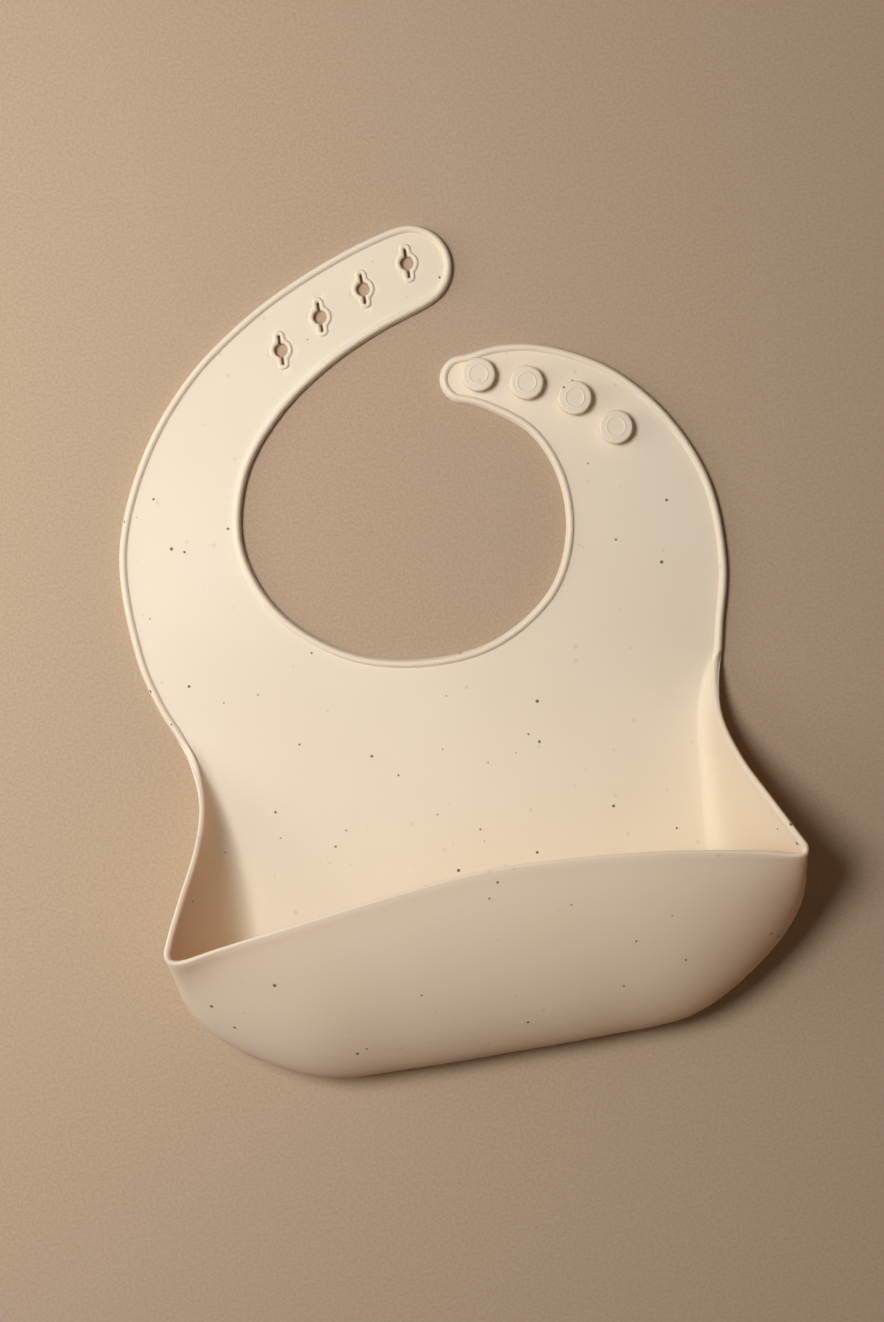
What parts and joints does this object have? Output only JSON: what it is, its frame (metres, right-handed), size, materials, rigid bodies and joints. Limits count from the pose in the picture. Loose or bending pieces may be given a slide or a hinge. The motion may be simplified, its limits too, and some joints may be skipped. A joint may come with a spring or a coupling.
{
  "type": "silicone baby bib",
  "caption": "Soft moulded bib with a neck opening, a studded strap, a slotted strap and a scoop pocket that catches food, lying on its back.",
  "frame": {"origin": "on the back face of the chest panel, on the body's centre line, 110 mm below the centre of the neck opening", "axes": "+Z out of the front, +Y from the pocket towards the straps, +X to the viewer's right, the stud strap's side"},
  "size_m": [0.2143, 0.2909, 0.0492],
  "materials": {
    "silicone": "matte"
  },
  "bodies": {
    "pocket_panel": {"chest_panel": "silicone", "pocket_floor": "silicone", "pocket_toe": "silicone", "left_gusset": "silicone", "right_gusset": "silicone", "left_gusset_bead": "silicone", "right_gusset_bead": "silicone"},
    "yoke": {"yoke_panel": "silicone", "neck_bead": "silicone", "yoke_left_bead": "silicone", "yoke_right_bead": "silicone"},
    "slot_strap": {"slot_strap_web": "silicone", "slot_strap_outer_bead": "silicone", "slot_strap_inner_bead": "silicone"},
    "slot_tab": {"slot_tab_web": "silicone", "slot_tab_bead": "silicone", "slot_collar_1": "silicone", "slot_collar_2": "silicone", "slot_collar_3": "silicone", "slot_collar_4": "silicone"},
    "stud_strap": {"stud_strap_web": "silicone", "stud_strap_outer_bead": "silicone", "stud_strap_inner_bead": "silicone"},
    "stud_tab": {"stud_tab_web": "silicone", "stud_tab_bead": "silicone", "stud_1": "silicone", "stud_2": "silicone", "stud_3": "silicone", "stud_4": "silicone"},
    "pocket_front": {"pocket_front_wall": "silicone", "pocket_lip_bead": "silicone"}
  },
  "joints": [
    {"name": "chest_fold", "type": "hinge", "parent": "pocket_panel", "child": "yoke", "pos_m": [0, 0.0418, 0.0034], "axis": [1, 0, 0], "range_deg": [0, 75], "stiffness_Nm_per_rad": 0.01},
    {"name": "slot_strap_bend", "type": "hinge", "parent": "yoke", "child": "slot_strap", "pos_m": [-0.084, 0.08, 0.0034], "axis": [1, 0, 0], "range_deg": [0, 50], "stiffness_Nm_per_rad": 0.005},
    {"name": "slot_tab_bend", "type": "hinge", "parent": "slot_strap", "child": "slot_tab", "pos_m": [-0.05965, 0.15628, 0.0034], "axis": [0.766, -0.6428, 0], "range_deg": [0, 45], "stiffness_Nm_per_rad": 0.005},
    {"name": "stud_strap_bend", "type": "hinge", "parent": "yoke", "child": "stud_strap", "pos_m": [0.076, 0.08, 0.0034], "axis": [1, 0, 0], "range_deg": [0, 50], "stiffness_Nm_per_rad": 0.005},
    {"name": "stud_tab_bend", "type": "hinge", "parent": "stud_strap", "child": "stud_tab", "pos_m": [0.074, 0.113, 0.0034], "axis": [1, 0, 0], "range_deg": [0, 45], "stiffness_Nm_per_rad": 0.005},
    {"name": "pocket_flex", "type": "hinge", "parent": "pocket_panel", "child": "pocket_front", "pos_m": [0, -0.0814, 0.013], "axis": [1, 0, 0], "range_deg": [-25, 20], "stiffness_Nm_per_rad": 0.3, "deforming": ["left_gusset", "right_gusset", "left_gusset_bead", "right_gusset_bead"]}
  ]
}
